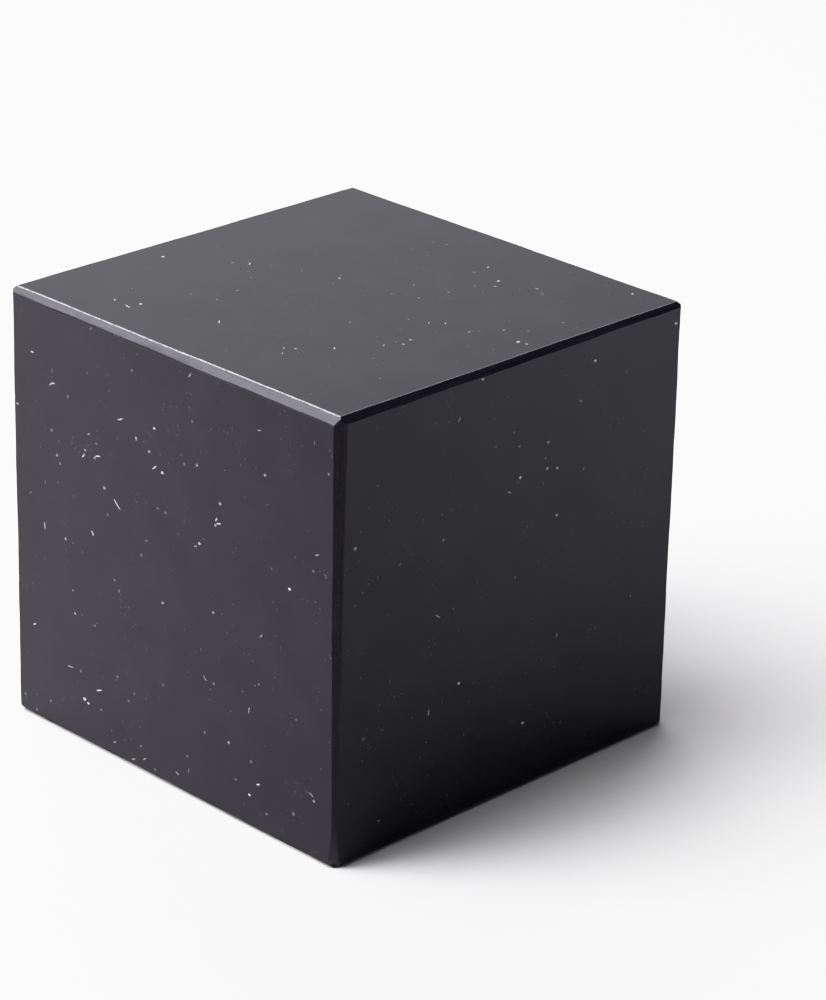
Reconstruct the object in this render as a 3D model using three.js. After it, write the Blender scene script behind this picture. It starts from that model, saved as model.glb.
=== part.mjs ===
// Polished black stone cube, one solid piece, edges ground to narrow flats.
// Millimetres, +Z up, origin at the middle of the base, faces square to X, Y and Z.

import * as THREE from "three";
import { ConvexGeometry } from "three/addons/geometries/ConvexGeometry.js";

// ---- driving dimensions ----
const SIDE = 50; // length of the base's sides, over the polished faces
const HEIGHT = 49.2; // a hand-cut cube: it stands a little lower than it is wide
const CHAMFER_LEG = 0.7; // how far each ground edge cuts back along the two faces beside it

const HALF = [SIDE / 2, SIDE / 2, HEIGHT / 2]; // from the centre to the faces square to X, Y, Z
const FLAT_HALF = HALF.map((half) => half - CHAMFER_LEG); // where a face ends at its ground edge
const CORNER_HALF = HALF.map((half) => half - CHAMFER_LEG / 2); // where three ground edges meet

const SIGNS = [-1, 1];

// The four corners of each of the two polished faces that are square to one axis.
function facePoints(axis) {
  const second = (axis + 1) % 3;
  const third = (axis + 2) % 3;
  const points = [];
  for (const side of SIGNS) {
    for (const across of SIGNS) {
      for (const along of SIGNS) {
        const point = new THREE.Vector3();
        point.setComponent(axis, side * HALF[axis]);
        point.setComponent(second, across * FLAT_HALF[second]);
        point.setComponent(third, along * FLAT_HALF[third]);
        points.push(point);
      }
    }
  }
  return points;
}

// The eight outer corners, each shared by three ground edges.
function cornerPoints() {
  const points = [];
  for (const x of SIGNS) {
    for (const y of SIGNS) {
      for (const z of SIGNS) {
        points.push(new THREE.Vector3(x, y, z).multiply(new THREE.Vector3(...CORNER_HALF)));
      }
    }
  }
  return points;
}

// Polished black stone: dark, a little grey, and glossy.
function polishedStone() {
  return new THREE.MeshStandardMaterial({
    name: "polished_black_stone",
    color: 0x141417,
    roughness: 0.12,
    metalness: 0,
  });
}

// The whole stone: six polished faces joined by twelve ground edges.
function stoneCube() {
  const points = [...facePoints(0), ...facePoints(1), ...facePoints(2), ...cornerPoints()];
  const mesh = new THREE.Mesh(new ConvexGeometry(points), polishedStone());
  mesh.name = "stone_cube";
  mesh.position.z = HEIGHT / 2;
  return mesh;
}

const part = new THREE.Group();
part.add(stoneCube());

export default part;
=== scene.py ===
"""A polished black stone cube on a pale floor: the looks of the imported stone_cube.

The CAD node is a plain cube with flat ground edges. Here the same cube gets its real surface:
ground edges whose width wanders as a hand-held grinding wheel leaves them, softened arrises, and
the pale mineral flecks that the polishing cut through on every face. The stone's lengths are in
millimetres and become metres where its meshes are made. The studio's are in metres throughout.
"""

import math
import random

import bmesh
import bpy
import numpy as np
from mathutils import Matrix, Vector


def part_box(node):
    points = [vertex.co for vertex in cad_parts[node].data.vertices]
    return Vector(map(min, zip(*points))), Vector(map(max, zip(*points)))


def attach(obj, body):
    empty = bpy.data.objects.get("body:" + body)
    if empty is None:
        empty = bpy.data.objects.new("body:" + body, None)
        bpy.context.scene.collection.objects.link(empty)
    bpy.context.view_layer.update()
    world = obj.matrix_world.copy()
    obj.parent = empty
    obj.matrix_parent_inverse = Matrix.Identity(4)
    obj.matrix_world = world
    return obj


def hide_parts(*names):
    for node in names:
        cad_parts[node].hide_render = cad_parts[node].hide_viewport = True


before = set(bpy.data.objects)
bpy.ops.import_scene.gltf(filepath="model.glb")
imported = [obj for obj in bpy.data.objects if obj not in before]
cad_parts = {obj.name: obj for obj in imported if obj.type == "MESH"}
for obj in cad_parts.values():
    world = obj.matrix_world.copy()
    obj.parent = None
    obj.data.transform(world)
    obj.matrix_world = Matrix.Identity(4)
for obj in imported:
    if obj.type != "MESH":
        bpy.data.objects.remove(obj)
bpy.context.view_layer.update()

MM = 0.001
LOW, HIGH = (Vector(corner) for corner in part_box("stone_cube"))
FLECK_LIFT = 0.008  # mm that the flecks stand proud of the polish
HALF = (HIGH - LOW) / 2 / MM - Vector((1, 1, 1)) * FLECK_LIFT  # mm, from the centre to the polish
CENTRE = (LOW + HIGH) / 2
AXES = (Vector((1, 0, 0)), Vector((0, 1, 0)), Vector((0, 0, 1)))


# ---- camera ----

AZIMUTH, ELEVATION, ROLL = 44.85, 23.33, 1.36  # degrees; azimuth 0 looks along +Y
DISTANCE = 8.306  # from the aim point, in sides of the cube
AIM_RIGHT, AIM_UP = 0.1449, 0.0221  # the aim point from the cube's centre, in sides
LENS = 139.9  # mm
SENSOR = 36  # mm along the picture's long side
NEAREST = 0.01  # m, the closest that the camera sees


def camera():
    """The photo's view: a long lens aimed a little to the cube's right, looking down at its edge."""
    side = 2 * HALF.x * MM
    a, e, r = (math.radians(d) for d in (AZIMUTH, ELEVATION, ROLL))
    right = Vector((math.cos(a), math.sin(a), 0))
    back = Vector((math.sin(a) * math.cos(e), -math.cos(a) * math.cos(e), math.sin(e)))
    up = back.cross(right)
    data = bpy.data.cameras.new("camera")
    data.lens = LENS
    data.sensor_width = SENSOR
    data.clip_start = NEAREST
    obj = bpy.data.objects.new("camera", data)
    turned_right = math.cos(r) * right + math.sin(r) * up
    turned_up = -math.sin(r) * right + math.cos(r) * up
    turn = Matrix((turned_right, turned_up, back)).transposed().to_4x4()
    place = CENTRE + side * (AIM_RIGHT * right + AIM_UP * up + DISTANCE * back)
    obj.matrix_world = Matrix.Translation(place) @ turn
    bpy.context.collection.objects.link(obj)
    bpy.context.scene.camera = obj


# ---- materials ----

STONE_IOR = 1.46
MINERAL_IOR = 1.54
RELIEF = 0.00002  # m, the height of the finest unevenness

# How fine each pattern is, in repeats per metre.
SMEARS, CLOUDS, DUST_PATCHES, RIPPLES, DUST_GRAINS = 60, 160, 420, 700, 1500
SATIN_PATCHES, CHIP_AND_HIGHLIGHT_SPOTS, GRIND_MARKS, VEINS = 700, 2600, 5000, 5000


def new_material(name):
    """A node material with one Principled shader; returns the material, its nodes and its links."""
    material = bpy.data.materials.new(name)
    material.use_nodes = True
    return material, material.node_tree.nodes, material.node_tree.links


def noise(nodes, links, scale, detail, vector, roughness=0.5):
    """A noise texture on the given coordinates; its output runs about 0.3 to 0.7."""
    node = nodes.new("ShaderNodeTexNoise")
    node.inputs["Scale"].default_value = scale
    node.inputs["Detail"].default_value = detail
    node.inputs["Roughness"].default_value = roughness
    links.new(vector, node.inputs["Vector"])
    return node.outputs["Fac"]


def spread(nodes, links, value, low, high, out_low, out_high):
    """Maps low..high onto out_low..out_high."""
    node = nodes.new("ShaderNodeMapRange")
    for name, number in (("From Min", low), ("From Max", high), ("To Min", out_low), ("To Max", out_high)):
        node.inputs[name].default_value = number
    links.new(value, node.inputs["Value"])
    return node.outputs["Result"]


def math_node(nodes, links, operation, a, b):
    """One maths step; a and b are sockets or numbers."""
    node = nodes.new("ShaderNodeMath")
    node.operation = operation
    for socket, value in zip(node.inputs, (a, b)):
        if isinstance(value, (int, float)):
            socket.default_value = value
        else:
            links.new(value, socket)
    return node.outputs["Value"]


def mix_colours(nodes, links, factor, a, b):
    """Colour a where factor is 0, b where it is 1; a and b are sockets or colours."""
    node = nodes.new("ShaderNodeMix")
    node.data_type = "RGBA"
    links.new(factor, node.inputs["Factor"])
    for socket, value in ((node.inputs[6], a), (node.inputs[7], b)):
        if isinstance(value, tuple):
            socket.default_value = value
        else:
            links.new(value, socket)
    return node.outputs[2]


def ramp(nodes, links, value, stops, tint):
    """A grey, times a tint, that runs in straight steps through stops of (value, level)."""
    node = nodes.new("ShaderNodeValToRGB")
    low, high = stops[0][0], stops[-1][0]
    elements = node.color_ramp.elements
    while len(elements) < len(stops):
        elements.new(0.5)
    for element, (place, level) in zip(elements, stops):
        element.position = (place - low) / (high - low)
        element.color = (*(level * part for part in tint), 1)
    links.new(spread(nodes, links, value, low, high, 0, 1), node.inputs["Fac"])
    return node.outputs["Color"]


def polished_stone():
    """Black stone, polished: cloudy dark grey in black, with a dust of mineral too fine to model."""
    material, nodes, links = new_material("polished_stone")
    shader = nodes["Principled BSDF"]
    place = nodes.new("ShaderNodeTexCoord").outputs["Object"]
    clouds = noise(nodes, links, CLOUDS, 5, place, 0.6)
    body = mix_colours(
        nodes, links, spread(nodes, links, clouds, 0.35, 0.65, 0, 1),
        (0.0033, 0.003, 0.0054, 1), (0.0075, 0.0069, 0.0099, 1),
    )
    cells = nodes.new("ShaderNodeTexVoronoi")
    cells.inputs["Scale"].default_value = DUST_GRAINS
    links.new(place, cells.inputs["Vector"])
    grain = spread(nodes, links, cells.outputs["Distance"], 0.13, 0.2, 1, 0)
    rare = spread(nodes, links, noise(nodes, links, DUST_PATCHES, 2, place), 0.56, 0.66, 0, 0.5)
    dust = math_node(nodes, links, "MULTIPLY", grain, rare)
    colour = mix_colours(nodes, links, dust, body, (0.085, 0.082, 0.088, 1))
    links.new(colour, shader.inputs["Base Color"])
    smears = noise(nodes, links, SMEARS, 4, place, 0.55)
    links.new(spread(nodes, links, smears, 0.3, 0.7, 0.07, 0.15), shader.inputs["Roughness"])
    shader.inputs["IOR"].default_value = STONE_IOR
    ripple = nodes.new("ShaderNodeBump")
    ripple.inputs["Strength"].default_value = 0.12
    ripple.inputs["Distance"].default_value = RELIEF
    links.new(noise(nodes, links, RIPPLES, 3, place), ripple.inputs["Height"])
    links.new(ripple.outputs["Normal"], shader.inputs["Normal"])
    return material


def ground_stone():
    """The same stone as the wheel leaves it: satin, marked along each edge, pale on its arrises: chips and
    a painted highlight.
    """
    material, nodes, links = new_material("ground_stone")
    shader = nodes["Principled BSDF"]
    along = nodes.new("ShaderNodeAttribute")
    along.attribute_name = "along_edge"
    wear_and_highlight = nodes.new("ShaderNodeAttribute")
    wear_and_highlight.attribute_name = "wear_and_highlight"
    place = nodes.new("ShaderNodeTexCoord").outputs["Object"]
    marks = noise(nodes, links, GRIND_MARKS, 3, along.outputs["Vector"], 0.6)
    patches = noise(nodes, links, SATIN_PATCHES, 4, place, 0.6)
    colour = mix_colours(
        nodes, links, spread(nodes, links, marks, 0.35, 0.65, 0, 1),
        (0.004, 0.0032, 0.0068, 1), (0.0095, 0.0078, 0.0132, 1),
    )
    # Spots of pale on the arrises: partly chipping, partly a painted highlight along the bright arrises.
    chip_and_highlight_spots = spread(nodes, links, noise(nodes, links, CHIP_AND_HIGHLIGHT_SPOTS, 3, place, 0.65), 0.36, 0.56, 0.45, 1)
    worn_and_highlit = math_node(nodes, links, "MULTIPLY", wear_and_highlight.outputs["Fac"], chip_and_highlight_spots)
    # The pale chip colour, which also paints the highlight along the arrises.
    chipped_and_highlit = mix_colours(nodes, links, worn_and_highlit, colour, (0.46, 0.45, 0.48, 1))
    links.new(chipped_and_highlit, shader.inputs["Base Color"])
    both = math_node(nodes, links, "ADD", marks, patches)
    satin = spread(nodes, links, both, 0.7, 1.3, 0.19, 0.3)
    rough = math_node(nodes, links, "ADD", satin, math_node(nodes, links, "MULTIPLY", worn_and_highlit, 0.2))
    links.new(rough, shader.inputs["Roughness"])
    shader.inputs["IOR"].default_value = STONE_IOR
    scores = nodes.new("ShaderNodeBump")
    scores.inputs["Strength"].default_value = 0.25
    scores.inputs["Distance"].default_value = RELIEF
    links.new(marks, scores.inputs["Height"])
    links.new(scores.outputs["Normal"], shader.inputs["Normal"])
    return material


def pale_mineral():
    """The flecks: clouded white to grey mineral, each fleck with a tone of its own."""
    material, nodes, links = new_material("pale_mineral")
    shader = nodes["Principled BSDF"]
    tone = nodes.new("ShaderNodeAttribute")
    tone.attribute_name = "tone"
    place = nodes.new("ShaderNodeTexCoord").outputs["Object"]
    veins = spread(nodes, links, noise(nodes, links, VEINS, 3, place), 0.3, 0.7, 0.75, 1.15)
    bright = math_node(nodes, links, "MULTIPLY", tone.outputs["Fac"], veins)
    colour = mix_colours(nodes, links, bright, (0.02, 0.02, 0.023, 1), (0.86, 0.86, 0.88, 1))
    links.new(colour, shader.inputs["Base Color"])
    links.new(spread(nodes, links, veins, 0.75, 1.15, 0.22, 0.38), shader.inputs["Roughness"])
    shader.inputs["IOR"].default_value = MINERAL_IOR
    return material


# ---- the stone ----

STATION = 0.5  # mm between the points along each ground edge
ROWS = 4  # strips across a ground edge
CORNER = 1.7  # mm from the cube's corner to the last station
CROWN = 0.012  # mm that a ground edge stands out at its middle
POLISHED, GROUND, ARRIS = 0, 1, 2  # material numbers; an arris is ground stone in the end
GRIND_SQUEEZE = 0.03  # how far the grinding marks are drawn out along their edge
MITRE = 0.09  # mm cut from each side where two ground edges meet
TOE_LENGTH = 4.5  # mm over which an edge flares at its low end
TOE_POWER = 1.5  # how sharply the flare opens
STEADY_END = 4  # mm at each end of an edge over which its wavering dies away
WAVES = ((0.035, 31), (0.022, 12.7), (0.012, 5.3), (0.007, 2.1))  # mm to each side, and mm long
ARRIS_SEGMENTS = 4  # strips round an arris

# An arris: mm cut from each side of it, and how much of it is painted pale: chipping, and a painted
# highlight along the bright arrises.
KEEN, CRISP, SOFT, ROUND, CHIPPED_AND_HIGHLIT = (0.02, 0), (0.04, 0.3), (0.12, 0), (0.18, 0), (0.13, 1)

# Each ground edge: the two faces it lies between, how far it cuts into them (mm) at the low and
# the high end of its own axis, the flare at its low end, how much less it cuts into its first
# face and more into its second (mm), and its arris against each face.
GROUND_EDGES = (
    # The upper arris of this edge carries a painted highlight: a pale line standing in for the glint of
    # the light.
    ("+z", "-y", 0.62, 0.80, 0, 0.18, CHIPPED_AND_HIGHLIT, ROUND),
    ("+z", "+x", 0.71, 0.56, 0, 0, CRISP, KEEN),
    ("+z", "-x", 0.57, 0.70, 0, 0, CRISP, CRISP),
    ("+z", "+y", 1.10, 0.95, 0, 0, CRISP, CRISP),
    ("-y", "+x", 0.36, 0.96, 0.6, 0, KEEN, SOFT),
    ("-x", "-y", 0.50, 0.46, 0, 0, CRISP, CRISP),
    ("+x", "+y", 0.84, 0.90, 0, 0, KEEN, CRISP),
    ("-x", "+y", 0.66, 0.74, 0, 0, CRISP, SOFT),
    ("-z", "-y", 0.56, 0.50, 0, 0, KEEN, KEEN),
    ("-z", "+x", 0.46, 0.42, 0, 0, KEEN, SOFT),
    ("-z", "-x", 0.58, 0.62, 0, 0, CRISP, CRISP),
    ("-z", "+y", 0.54, 0.60, 0, 0, CRISP, SOFT),
)


def face_of(label):
    """The axis number and the side, -1 or 1, of a face label such as +z."""
    return "xyz".index(label[1]), (1 if label[0] == "+" else -1)


def wander(seed):
    """A smooth wavering along an edge: a few sines of unlike lengths with seeded phases."""
    draw = random.Random(seed)
    waves = [
        (size, 2 * math.pi / length, draw.uniform(0, 2 * math.pi))
        for size, length in WAVES
    ]
    return lambda t: sum(size * math.sin(rate * t + phase) for size, rate, phase in waves)


class GroundEdge:
    """One of the cube's twelve edges, ground off between two faces."""

    def __init__(self, number, first, second, low, high, toe, lean, first_arris, second_arris):
        self.faces = (face_of(first), face_of(second))
        self.axis = ({0, 1, 2} - {axis for axis, _ in self.faces}).pop()
        self.low, self.high, self.toe = low, high, toe
        self.lean = (-lean, lean)
        self.arrises = (first_arris, second_arris)
        self.waver = (wander(2 * number), wander(2 * number + 1))

    def leg(self, which, t):
        """How far the grinding cuts into face number which, at t mm along the edge's axis."""
        half = HALF[self.axis]
        share = (t + half) / (2 * half)
        steady = min(1.0, (half - abs(t)) / STEADY_END)  # no waver where the corners are worked out
        flare = self.toe * max(0.0, 1 - (t + half) / TOE_LENGTH) ** TOE_POWER
        even = self.low * (1 - share) + self.high * share + self.lean[which]
        return even + flare + steady * self.waver[which](t)

    def point(self, across, t):
        """A point on the ground flat: across runs 0 to 1 from the first face to the second."""
        (first, first_side), (second, second_side) = self.faces
        place = Vector((0, 0, 0))
        crown = CROWN * 4 * across * (1 - across)
        place[self.axis] = t
        place[first] = first_side * (HALF[first] - across * self.leg(1, t) + crown)
        place[second] = second_side * (HALF[second] - (1 - across) * self.leg(0, t) + crown)
        return place


def edge_between(edges, one, other):
    """The ground edge between two faces, and which of its faces one is."""
    for edge in edges:
        if set(edge.faces) == {one, other}:
            return edge, edge.faces.index(one)


def corner_points(edges, sides):
    """At one corner of the cube: the corner of each polished face, and where the edges meet."""
    faces = [(axis, sides[axis]) for axis in range(3)]
    face_corners = {}
    planes, offsets = np.zeros((3, 3)), np.zeros(3)
    for face in faces:
        place = Vector((0, 0, 0))
        place[face[0]] = face[1] * HALF[face[0]]
        for other in faces:
            if other != face:
                edge, which = edge_between(edges, face, other)
                cut = edge.leg(which, sides[edge.axis] * HALF[edge.axis])
                place[other[0]] = other[1] * (HALF[other[0]] - cut)
        face_corners[face] = place
    for row, (one, other) in enumerate(((0, 1), (1, 2), (2, 0))):
        edge, which = edge_between(edges, faces[one], faces[other])
        end = sides[edge.axis] * HALF[edge.axis]
        cut, other_cut = edge.leg(which, end), edge.leg(1 - which, end)
        planes[row, one], planes[row, other] = cut, other_cut
        offsets[row] = cut * HALF[one] + other_cut * HALF[other] - cut * other_cut
    meeting = np.linalg.solve(planes, offsets)
    return face_corners, Vector([side * value for side, value in zip(sides, meeting)])


def stone_shell(edges):
    """The closed mesh with sharp arrises, each arris weighted by how much it is to be softened."""
    bm = bmesh.new()
    weight = bm.edges.layers.float.new("bevel_weight_edge")
    widest = max(MITRE, *(width for edge in edges for width, _ in edge.arrises))

    def soften(one, other, width):
        bm.edges.get((one, other))[weight] = width / widest

    corners = {}
    for sides in ((x, y, z) for x in (-1, 1) for y in (-1, 1) for z in (-1, 1)):
        face_corners, meeting = corner_points(edges, sides)
        flats = {face: bm.verts.new(place) for face, place in face_corners.items()}
        corners[sides] = (flats, bm.verts.new(meeting))

    for edge in edges:
        reach = HALF[edge.axis] - CORNER
        steps = round(2 * reach / STATION)
        stations = [reach * (2 * i / steps - 1) for i in range(steps + 1)]
        grid = [[bm.verts.new(edge.point(j / ROWS, t)) for j in range(ROWS + 1)] for t in stations]
        for near, far in zip(grid, grid[1:]):
            for j in range(ROWS):
                bm.faces.new((near[j], near[j + 1], far[j + 1], far[j])).material_index = GROUND
            soften(near[0], far[0], edge.arrises[0][0])
            soften(near[-1], far[-1], edge.arrises[1][0])
        for end, row in ((-1, grid[0]), (1, grid[-1])):
            sides = [0, 0, 0]
            sides[edge.axis] = end
            for axis, side in edge.faces:
                sides[axis] = side
            flats, meeting = corners[tuple(sides)]
            first, second = (flats[face] for face in edge.faces)
            bm.faces.new((*row, second, meeting, first)).material_index = GROUND
            soften(row[0], first, edge.arrises[0][0])
            soften(row[-1], second, edge.arrises[1][0])
            soften(first, meeting, MITRE)
            soften(second, meeting, MITRE)
    rims = [edge for edge in bm.edges if edge.is_boundary]
    for face in bmesh.ops.holes_fill(bm, edges=rims, sides=0)["faces"]:
        face.material_index = POLISHED
    bmesh.ops.recalc_face_normals(bm, faces=bm.faces)
    return bm, widest


def mark_grinding(mesh, edges):
    """Gives the ground edges coordinates squeezed along them, and their arrises their pale paint: wear and
    a painted highlight.
    """
    marks = mesh.attributes.new("along_edge", "FLOAT_VECTOR", "CORNER")
    wear_and_highlight = mesh.attributes.new("wear_and_highlight", "FLOAT", "FACE")
    for polygon in mesh.polygons:
        tilt = [abs(part) for part in polygon.normal]
        length_axis, lesser, greater = sorted(range(3), key=lambda axis: tilt[axis])
        if polygon.material_index == ARRIS:
            faces = [(axis, 1 if polygon.normal[axis] > 0 else -1) for axis in (greater, lesser)]
            edge, which = edge_between(edges, *faces)
            wear_and_highlight.data[polygon.index].value = edge.arrises[which][1]
            polygon.material_index = GROUND
        for loop in polygon.loop_indices:
            place = mesh.vertices[mesh.loops[loop].vertex_index].co.copy()
            place[length_axis] *= GRIND_SQUEEZE
            marks.data[loop].vector = place


def softened(bm, widest):
    """The shell as a mesh in metres, with its arrises rounded by their weights."""
    rough = bpy.data.meshes.new("stone_shell")
    bm.transform(Matrix.Translation(CENTRE) @ Matrix.Scale(MM, 4))
    bm.to_mesh(rough)
    bm.free()
    for polygon in rough.polygons:
        polygon.use_smooth = True
    for _ in range(ARRIS + 1):
        rough.materials.append(None)
    obj = bpy.data.objects.new("stone_shell", rough)
    bpy.context.collection.objects.link(obj)
    bevel = obj.modifiers.new("arrises", "BEVEL")
    bevel.limit_method = "WEIGHT"
    bevel.width = widest * MM
    bevel.segments = ARRIS_SEGMENTS
    bevel.material = ARRIS
    bevel.harden_normals = True
    bevel.use_clamp_overlap = False
    mesh = bpy.data.meshes.new_from_object(obj.evaluated_get(bpy.context.evaluated_depsgraph_get()))
    bpy.data.objects.remove(obj)
    return mesh


def stone():
    """The cube itself, in the place of its CAD node."""
    edges = [GroundEdge(number, *row) for number, row in enumerate(GROUND_EDGES)]
    mesh = softened(*stone_shell(edges))
    mesh.name = "stone_body"
    mark_grinding(mesh, edges)
    mesh.materials.pop(index=ARRIS)
    mesh.materials[POLISHED] = polished_stone()
    mesh.materials[GROUND] = ground_stone()
    obj = bpy.data.objects.new("stone_body", mesh)
    bpy.context.collection.objects.link(obj)
    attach(obj, "root")
    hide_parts("stone_cube")


# ---- the flecks ----

BRIGHT, CLEAR, FAINT = 0.62, 0.27, 0.09  # how white a fleck is
FLECK_DEPTH = 0.05  # mm from a fleck's top to its underside

# Which way each face's own axes run, seen from outside, from its lower left corner.
FACE_AXES = {
    "-y": (AXES[0], AXES[2]),
    "+x": (AXES[1], AXES[2]),
    "+z": (AXES[0], AXES[1]),
    "+y": (-AXES[0], AXES[2]),
    "-x": (-AXES[1], AXES[2]),
    "-z": (AXES[0], -AXES[1]),
}

# The flecks that stand out on the three faces towards the camera: mm along and up the face, how
# white, and for the longer ones the length (mm), the lean (degrees) and the bend (degrees).
FLECKS = {
    "-y": (
        (3.5, 42.7, BRIGHT, 0.5, -5, 0), (6.7, 40.0, BRIGHT, 1.0, 20, -50),
        (6.7, 41.6, FAINT, 0.6, 95, 0), (17.5, 39.4, BRIGHT, 0.9, 25, 15), (22.8, 40.0, BRIGHT),
        (20.0, 38.0, BRIGHT, 0.45, 100, 0), (22.0, 37.2, CLEAR), (22.8, 35.7, BRIGHT, 0.8, 40, 10),
        (24.0, 35.5, BRIGHT), (29.3, 38.0, CLEAR), (27.4, 37.5, FAINT), (32.8, 34.9, CLEAR),
        (32.2, 33.0, BRIGHT, 0.5, 70, 40), (32.6, 32.6, BRIGHT, 0.7, 15, -30), (32.1, 32.3, CLEAR),
        (29.7, 29.5, BRIGHT), (29.1, 29.0, CLEAR, 0.5, 30, 0), (43.1, 29.0, BRIGHT),
        (47.0, 34.0, CLEAR, 0.5, 20, 0), (39.4, 40.1, CLEAR), (38.5, 44.6, CLEAR, 0.5, 15, 0),
        (28.2, 47.4, CLEAR, 0.7, 60, 40), (13.0, 48.0, FAINT), (19.4, 45.3, FAINT),
        (12.5, 36.2, CLEAR, 0.5, 35, 0), (13.7, 35.5, FAINT), (11.6, 33.5, BRIGHT, 0.6, 55, 0),
        (11.9, 34.2, CLEAR), (13.9, 34.1, BRIGHT, 0.9, 15, -30), (13.4, 33.8, CLEAR),
        (7.3, 32.2, CLEAR), (7.8, 31.4, FAINT), (6.5, 34.8, FAINT, 0.4, 30, 0),
        (14.9, 30.9, CLEAR, 0.4, -20, 0), (16.9, 29.7, BRIGHT, 1.3, -40, 12), (24.5, 31.2, FAINT),
        (23.3, 31.3, FAINT), (12.9, 25.1, BRIGHT, 0.6, -60, -35), (8.5, 23.0, CLEAR),
        (5.1, 23.4, BRIGHT, 0.8, -80, 10), (2.8, 26.5, FAINT, 0.5, 50, 0),
        (5.3, 28.5, FAINT, 0.6, 85, 0), (0.9, 36.1, CLEAR), (31.8, 22.5, CLEAR),
        (39.0, 22.4, CLEAR, 0.6, 50, 0), (24.0, 20.9, CLEAR), (16.4, 20.9, FAINT), (17.1, 19.9, FAINT),
        (9.6, 17.4, FAINT), (9.9, 14.8, CLEAR), (13.1, 14.5, FAINT), (3.1, 11.2, BRIGHT, 0.45, 30, 0),
        (30.6, 14.7, CLEAR, 0.7, -40, 90), (31.9, 14.5, FAINT), (37.3, 13.4, CLEAR, 0.8, 75, -50),
        (38.7, 16.9, FAINT), (24.0, 11.5, FAINT), (34.2, 8.6, CLEAR), (9.0, 8.2, CLEAR, 0.9, 5, -15),
        (10.7, 8.3, FAINT), (13.7, 7.1, BRIGHT, 0.9, 22, 0), (11.3, 5.2, BRIGHT, 0.4, 20, 0),
        (11.9, 4.9, BRIGHT), (14.0, 4.9, FAINT), (5.6, 2.9, FAINT), (16.2, 1.9, CLEAR, 0.5, 35, 0),
        (20.4, 3.0, FAINT), (21.0, 1.7, CLEAR, 0.6, 40, 0), (19.2, 1.0, CLEAR, 0.6, 25, 0),
        (22.7, 1.1, FAINT), (26.2, 2.0, CLEAR, 0.6, -15, 0), (28.0, 3.0, FAINT, 0.7, 70, 0),
        (27.8, 4.6, FAINT), (38.7, 5.5, BRIGHT, 0.5, 20, 0), (37.4, 3.8, BRIGHT), (37.6, 7.7, FAINT),
        (35.3, 4.8, FAINT), (46.6, 7.4, CLEAR, 0.7, -25, 0), (47.0, 6.8, CLEAR),
        (44.0, 4.2, FAINT, 0.4, 10, 0), (40.0, 2.6, FAINT), (46.4, 45.7, FAINT, 0.5, 90, 0),
        (48.5, 43.1, FAINT), (48.3, 32.1, FAINT, 0.5, 95, 0), (46.5, 32.1, FAINT), (9.2, 39.4, FAINT),
        (19.4, 8.8, FAINT), (18.5, 7.6, FAINT), (16.7, 9.8, FAINT), (21.5, 27.1, FAINT),
        (20.7, 25.2, FAINT), (15.4, 28.0, FAINT), (30.5, 8.4, FAINT), (3.2, 1.0, FAINT),
        (1.3, 2.2, FAINT),
    ),
    "+x": (
        (36.1, 46.0, BRIGHT), (25.5, 36.0, BRIGHT), (17.4, 15.4, BRIGHT), (27.2, 7.6, BRIGHT),
        (2.3, 35.0, CLEAR, 0.4, -20, 0), (16.4, 44.8, CLEAR, 0.5, 70, 0), (25.2, 39.5, FAINT),
        (29.5, 38.8, CLEAR), (29.2, 37.1, FAINT), (29.5, 35.9, CLEAR), (31.0, 35.5, CLEAR, 0.4, -30, 0),
        (24.0, 34.8, CLEAR, 0.6, -30, 0), (31.2, 30.2, CLEAR), (14.6, 32.3, FAINT),
        (14.1, 24.0, CLEAR, 0.8, -35, 0), (31.9, 16.2, CLEAR, 0.5, 60, 0),
        (13.1, 13.5, CLEAR, 0.7, 85, 0), (3.9, 13.6, FAINT), (48.4, 47.0, BRIGHT), (19.6, 48.3, CLEAR),
        (34.2, 42.1, FAINT), (6.3, 3.5, FAINT), (43.3, 17.3, FAINT), (35.0, 34.3, FAINT),
    ),
    "+z": (
        (29.2, 41.5, BRIGHT, 0.5, -60, 0), (32.9, 39.3, BRIGHT), (33.8, 37.9, CLEAR),
        (37.2, 40.7, CLEAR, 0.5, 0, 0), (38.6, 40.0, FAINT, 0.8, -25, 0),
        (44.9, 47.1, BRIGHT, 0.3, -50, 0), (29.3, 39.3, FAINT), (46.0, 35.4, FAINT),
        (43.4, 29.3, CLEAR, 0.5, -60, 0), (46.7, 28.0, BRIGHT, 0.4, -60, 0), (47.7, 28.2, CLEAR),
        (31.9, 32.9, FAINT), (27.9, 31.7, FAINT, 0.6, -45, 0), (31.0, 29.4, FAINT), (21.2, 27.3, CLEAR),
        (38.1, 26.2, CLEAR, 0.5, -50, 0), (36.9, 25.0, CLEAR, 0.5, -50, 0),
        (41.5, 26.2, CLEAR, 0.6, -65, 0), (11.7, 23.2, BRIGHT, 0.6, -50, 0), (10.3, 22.0, FAINT),
        (4.0, 17.7, BRIGHT, 0.35, -40, 0), (39.1, 20.2, CLEAR), (39.5, 18.8, CLEAR),
        (38.4, 17.1, CLEAR, 0.6, -55, 0), (31.5, 19.0, FAINT, 0.5, -30, 0),
        (35.7, 12.8, BRIGHT, 0.5, -50, 0), (33.2, 9.8, CLEAR), (32.3, 9.0, CLEAR, 0.6, -45, 0),
        (33.3, 7.9, CLEAR, 0.5, -45, 0), (22.5, 9.1, BRIGHT, 0.8, -40, 0),
        (10.6, 5.3, BRIGHT, 0.5, -50, 0), (13.3, 6.5, BRIGHT, 0.35, -60, 0),
        (12.9, 5.1, BRIGHT, 0.9, -10, 25), (16.9, 16.7, FAINT), (17.5, 13.3, FAINT, 0.5, -40, 0),
    ),
}

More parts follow.
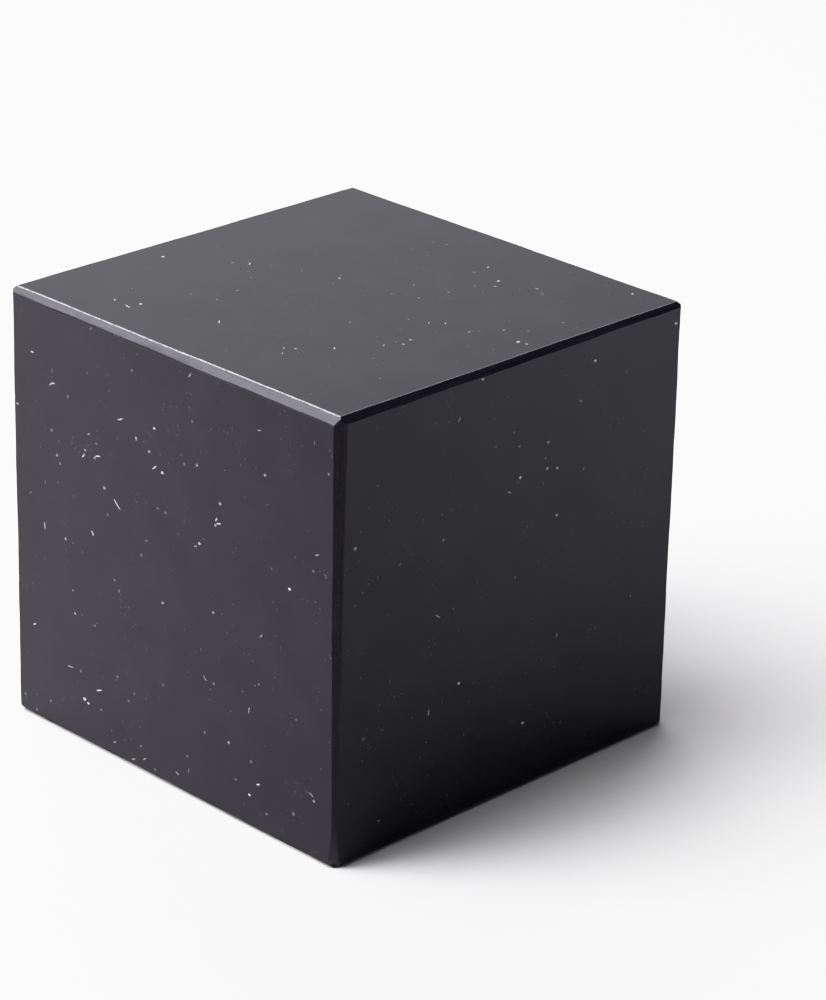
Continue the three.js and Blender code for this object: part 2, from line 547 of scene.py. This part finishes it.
DOT = (0.33, 0, 0)  # length (mm), lean and bend of a fleck that is just a dot
SLIVER = 0.13  # mm across the middle of a long fleck
SHORT = 0.55  # mm; the shorter a fleck is below this, the fatter
FATTENING = 0.1  # mm more across for each mm shorter
ROUNDISH = 0.45  # mm; a fleck shorter than this is nearly as wide as it is long
ROUNDISH_WIDTHS = (0.36, 0.5)  # half the width of such a fleck, over its length
RAGGED = (0.8, 1.2)  # how much each point of a fleck's outline strays in and out
ROUNDING, TIP = 0.97, 0.05  # how a fleck narrows towards its tips, and how blunt they stay
UNDERCUT = 0.7  # how much wider a fleck is below on each side, over its depth
UNDER_LENGTHENING = 0.15  # how much longer a fleck is below, over its length
RINGS = 7  # cross-sections along a fleck
TONE_SPREAD = (0.85, 1.1)  # how much a listed fleck strays from its tone

SPECKS = 70  # very small faint flecks on each face
SPECK_SIZES, SPECK_TONES = (0.12, 0.28), (0.03, 0.1)  # mm long, and how white
HIDDEN_FLECKS = 75  # larger flecks on each face turned away from the camera
HIDDEN_SIZES, HIDDEN_TONES = (0.25, 1.2), (0.15, 0.9)
LEANS = (-60, 80)  # degrees, of the flecks placed at random
BENDS = (-40, 40)  # degrees, of those long enough to be bent
BENDABLE = 0.6  # mm
CLEAR_OF_EDGES = 1.6  # mm from the face's outline to the flecks placed at random


def grain(bm, tone_layer, face, u, v, tone, length, lean, bend, draw):
    """One fleck: a thin closed sliver set in a face, curved along its length, wider below."""
    across, up = FACE_AXES[face]
    out = across.cross(up)
    width, height, depth = (abs(direction.dot(HALF)) for direction in (across, up, out))
    origin = out * (depth + FLECK_LIFT) + across * (u - width) + up * (v - height)
    half_width = min(length, SLIVER + FATTENING * max(0.0, SHORT - length)) / 2
    if length < ROUNDISH:
        half_width = length * draw.uniform(*ROUNDISH_WIDTHS)
    rings = []
    heading = math.radians(lean - bend / 2)
    place = Vector((0, 0))
    spine = []
    for i in range(RINGS):
        spine.append((place.copy(), heading))
        place += Vector((math.cos(heading), math.sin(heading))) * length / (RINGS - 1)
        heading += math.radians(bend) / (RINGS - 1)
    middle = (spine[0][0] + spine[-1][0]) / 2
    for i, (place, heading) in enumerate(spine):
        along = 2 * i / (RINGS - 1) - 1
        taper = math.sqrt(max(TIP, 1 - along * along * ROUNDING))
        side = Vector((-math.sin(heading), math.cos(heading)))
        ring = []
        for sign, deep in ((1, False), (-1, False), (-1, True), (1, True)):
            reach = half_width * taper * (1 if deep else draw.uniform(*RAGGED))
            reach += FLECK_DEPTH * UNDERCUT if deep else 0
            spot = place - middle + side * sign * reach
            if deep:
                spot += (place - middle) * UNDER_LENGTHENING
            sunk = out * (FLECK_DEPTH if deep else 0)
            vertex = bm.verts.new(origin + across * spot.x + up * spot.y - sunk)
            vertex[tone_layer] = tone
            ring.append(vertex)
        rings.append(ring)
    for near, far in zip(rings, rings[1:]):
        for k in range(4):
            bm.faces.new((near[k], near[(k + 1) % 4], far[(k + 1) % 4], far[k]))
    bm.faces.new(rings[0][::-1])
    bm.faces.new(rings[-1])


def scatter(bm, tone_layer, face, count, sizes, tones, draw):
    """Flecks at random over a face, clear of its ground edges: most of them small and faint."""
    for _ in range(count):
        spans = (2 * abs(side.dot(HALF)) for side in FACE_AXES[face])
        u, v = (draw.uniform(CLEAR_OF_EDGES, span - CLEAR_OF_EDGES) for span in spans)
        share = draw.random() ** 3
        length = sizes[0] + (sizes[1] - sizes[0]) * share
        tone = tones[0] + (tones[1] - tones[0]) * draw.random() ** 2
        bend = draw.uniform(*BENDS) if length > BENDABLE else 0
        grain(bm, tone_layer, face, u, v, tone, length, draw.uniform(*LEANS), bend, draw)


def flecks():
    """All the mineral flecks, as one piece."""
    bm = bmesh.new()
    tone_layer = bm.verts.layers.float.new("tone")
    draw = random.Random(11)
    for face, rows in FLECKS.items():
        for u, v, tone, *shape in rows:
            length, lean, bend = shape or DOT
            shade = tone * draw.uniform(*TONE_SPREAD)
            grain(bm, tone_layer, face, u, v, shade, length, lean, bend, draw)
    for face in FACE_AXES:
        scatter(bm, tone_layer, face, SPECKS, SPECK_SIZES, SPECK_TONES, draw)
        if face not in FLECKS:
            scatter(bm, tone_layer, face, HIDDEN_FLECKS, HIDDEN_SIZES, HIDDEN_TONES, draw)
    bmesh.ops.recalc_face_normals(bm, faces=bm.faces)
    bm.transform(Matrix.Translation(CENTRE) @ Matrix.Scale(MM, 4))
    mesh = bpy.data.meshes.new("mineral_flecks")
    bm.to_mesh(mesh)
    bm.free()
    mesh.materials.append(pale_mineral())
    obj = bpy.data.objects.new("mineral_flecks", mesh)
    bpy.context.collection.objects.link(obj)
    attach(obj, "root")


# ---- floor and light ----

FLOOR_SIZE = 5.0  # m
HAIR = 0.01 * MM  # m between the stone's base and the floor, and between the base and the cards
PALE = (0.94, 0.94, 0.95, 1)  # the backdrop that the camera sees past the floor

# The soft boxes: the azimuth (from +X towards +Y) and elevation of the middle, the degrees that
# each fills across and up as the stone sees it, its radiance and its tint.
LIGHT_DISTANCE = 1.4  # m
LIGHTS = (
    ("key", 235, 60, 26, 54, 10.9, (1, 1, 1)),
    ("strip", 225, 23, 26, 18, 6.1, (1, 0.97, 1.09)),
    ("back", 136, 41, 40, 16, 4.3, (1, 1, 1)),
)

# The room's radiance, from straight away from its bright side (0) to straight at it (1): dark up to
# halfway, palest about 65 degrees from the bright side, and greyer straight at it.
ROOM_BRIGHT_SIDE = (202, -3)  # azimuth and elevation, degrees
ROOM_LEVELS = ((0, 0.03), (0.48, 0.05), (0.58, 0.3), (0.65, 0.6), (0.71, 0.77), (0.79, 0.72), (1, 0.39))
ROOM_TINT = (1.01, 1, 1.06)

# Grey cards on the floor round the stone, seen only mirrored in the polish: their greys are painted
# reflections of the floor's light and shade. Where each lies in X and Y (m), the direction that its grey
# runs along, and the stops of its grey: how far along that direction (m), and the grey there. The two
# contact cards paint shade at the foot of the visible faces, in their reflection.
FOOT = HIGH.x  # m from the middle of the base to its sides
NEAR, FAR = FOOT + 0.2 * MM, 0.33  # m, where the cards round the stone begin and end
CONTACT = 1.5 * MM  # m that the foot shade cards reach in under the stone
REAR_GREYS = ((-0.01, 0.2), (0.02, 0.23), (0.045, 0.26), (0.14, 0.41), (0.2, 0.48))
LEFT_GREYS = ((-0.025, 0.55), (0.04, 0.3), (0.2, 0.45))
FRONT_GREYS = ((0.0, 0.58), (0.05, 0.42), (0.064, 0.15), (0.2, 0.1))
PAINTED_REFLECTION_CARDS = (
    ("right_card", (NEAR, FAR), (-NEAR, FAR), (0.4, 1), REAR_GREYS),
    ("back_card", (-NEAR, NEAR), (NEAR, FAR), (0.4, 1), REAR_GREYS),
    ("left_card", (-FAR, -NEAR), (-NEAR, FAR), (0, 1), LEFT_GREYS),
    ("front_card", (-FAR, FAR), (-FAR, -NEAR), (1, -1), FRONT_GREYS),
    # Painted shade: dark cards mirrored at the foot of the two visible faces, standing in for the shade
    # beneath the stone.
    ("left_foot_shade_card", (-FOOT, FOOT), (-FOOT, CONTACT - FOOT), (1, 0), ((-0.03, 0.06), (0.03, 0.04))),
    ("right_foot_shade_card", (FOOT - CONTACT, FOOT), (-FOOT, FOOT), (0, 1), ((-0.03, 0.04), (0.03, 0.04))),
)
# The tint of the painted reflections.
CARD_TINT = (1.01, 0.975, 1.06)

# The picture's tone curve, scene radiance to shown radiance: straight, then a soft shoulder that
# keeps the brightly lit floor just short of white.
TONES = ((0.45, 0.45), (0.62, 0.6), (0.79, 0.72), (0.98, 0.83), (1.2, 0.915), (1.5, 0.965))


def sheet(name, x_range, y_range, z):
    """A flat rectangle that belongs to the studio, not to the stone."""
    mesh = bpy.data.meshes.new(name)
    corners = [(x_range[i], y_range[j], z) for i, j in ((0, 0), (1, 0), (1, 1), (0, 1))]
    mesh.from_pydata(corners, [], [(0, 1, 2, 3)])
    obj = bpy.data.objects.new(name, mesh)
    bpy.context.collection.objects.link(obj)
    return obj


def floor():
    """A large matte pale floor just under the stone."""
    half = FLOOR_SIZE / 2
    obj = sheet("floor", (-half, half), (-half, half), LOW.z - HAIR)
    material, nodes, links = new_material("pale_floor")
    shader = nodes["Principled BSDF"]
    place = nodes.new("ShaderNodeTexCoord").outputs["Object"]
    patches = noise(nodes, links, 25, 3, place)
    tint = mix_colours(nodes, links, patches, (0.9, 0.885, 0.9, 1), (0.915, 0.9, 0.915, 1))
    links.new(tint, shader.inputs["Base Color"])
    shader.inputs["Roughness"].default_value = 1
    shader.inputs["Specular IOR Level"].default_value = 0
    obj.data.materials.append(material)


def painted_reflection_card(name, x_range, y_range, axis, stops):
    """A card flat on the floor that only the polish sees, mirrored; its grey runs along an axis and paints
    the light and shade that the polish reflects.
    """
    obj = sheet(name, x_range, y_range, LOW.z + HAIR)
    for ray in ("camera", "diffuse", "transmission", "volume_scatter", "shadow"):
        setattr(obj, "visible_" + ray, False)
    material, nodes, links = new_material(name)
    shader = nodes["Principled BSDF"]
    along = nodes.new("ShaderNodeVectorMath")
    along.operation = "DOT_PRODUCT"
    links.new(nodes.new("ShaderNodeTexCoord").outputs["Object"], along.inputs[0])
    along.inputs[1].default_value = (*axis, 0)
    links.new(ramp(nodes, links, along.outputs["Value"], stops, CARD_TINT), shader.inputs["Base Color"])
    shader.inputs["Roughness"].default_value = 1
    shader.inputs["Specular IOR Level"].default_value = 0
    obj.data.materials.append(material)


def direction(azimuth, elevation):
    """The unit vector towards an azimuth (from +X towards +Y) and an elevation, in degrees."""
    a, e = math.radians(azimuth), math.radians(elevation)
    return Vector((math.cos(a) * math.cos(e), math.sin(a) * math.cos(e), math.sin(e)))


def soft_box(name, azimuth, elevation, across, up, radiance, tint):
    """A flat rectangular light that faces the stone."""
    width, height = (2 * LIGHT_DISTANCE * math.tan(math.radians(span / 2)) for span in (across, up))
    data = bpy.data.lights.new(name, "AREA")
    data.shape = "RECTANGLE"
    data.size, data.size_y = width, height
    data.energy = radiance * math.pi * width * height
    data.color = tint
    obj = bpy.data.objects.new(name, data)
    towards = direction(azimuth, elevation)
    obj.location = CENTRE + towards * LIGHT_DISTANCE
    obj.rotation_euler = towards.to_track_quat("Z", "Y").to_euler()
    obj.visible_camera = False
    bpy.context.collection.objects.link(obj)


def room():
    """The surroundings: pale on the lights' side, dark on the other, plain pale to the camera."""
    world = bpy.data.worlds.new("room")
    world.use_nodes = True
    nodes, links = world.node_tree.nodes, world.node_tree.links
    background = nodes["Background"]
    facing = nodes.new("ShaderNodeVectorMath")
    facing.operation = "DOT_PRODUCT"
    links.new(nodes.new("ShaderNodeTexCoord").outputs["Generated"], facing.inputs[0])
    facing.inputs[1].default_value = direction(*ROOM_BRIGHT_SIDE)
    side = spread(nodes, links, facing.outputs["Value"], -1, 1, 0, 1)
    light = ramp(nodes, links, side, ROOM_LEVELS, ROOM_TINT)
    seen = nodes.new("ShaderNodeLightPath").outputs["Is Camera Ray"]
    links.new(mix_colours(nodes, links, seen, light, PALE), background.inputs["Color"])
    bpy.context.scene.world = world


def tone_curve():
    """The camera's response: a plain picture with a soft shoulder near white."""
    view = bpy.context.scene.view_settings
    view.view_transform = "Standard"
    view.use_curve_mapping = True
    mapping = view.curve_mapping
    brightest, shown = TONES[-1]
    mapping.white_level = (brightest,) * 3
    mapping.extend = "HORIZONTAL"
    curve = mapping.curves[3]
    curve.points[-1].location = (1, shown)
    for scene_level, shown_level in TONES[:-1]:
        curve.points.new(scene_level / brightest, shown_level)
    mapping.update()


camera()
stone()
flecks()
floor()
for card in PAINTED_REFLECTION_CARDS:
    painted_reflection_card(*card)
for light in LIGHTS:
    soft_box(*light)
room()
tone_curve()
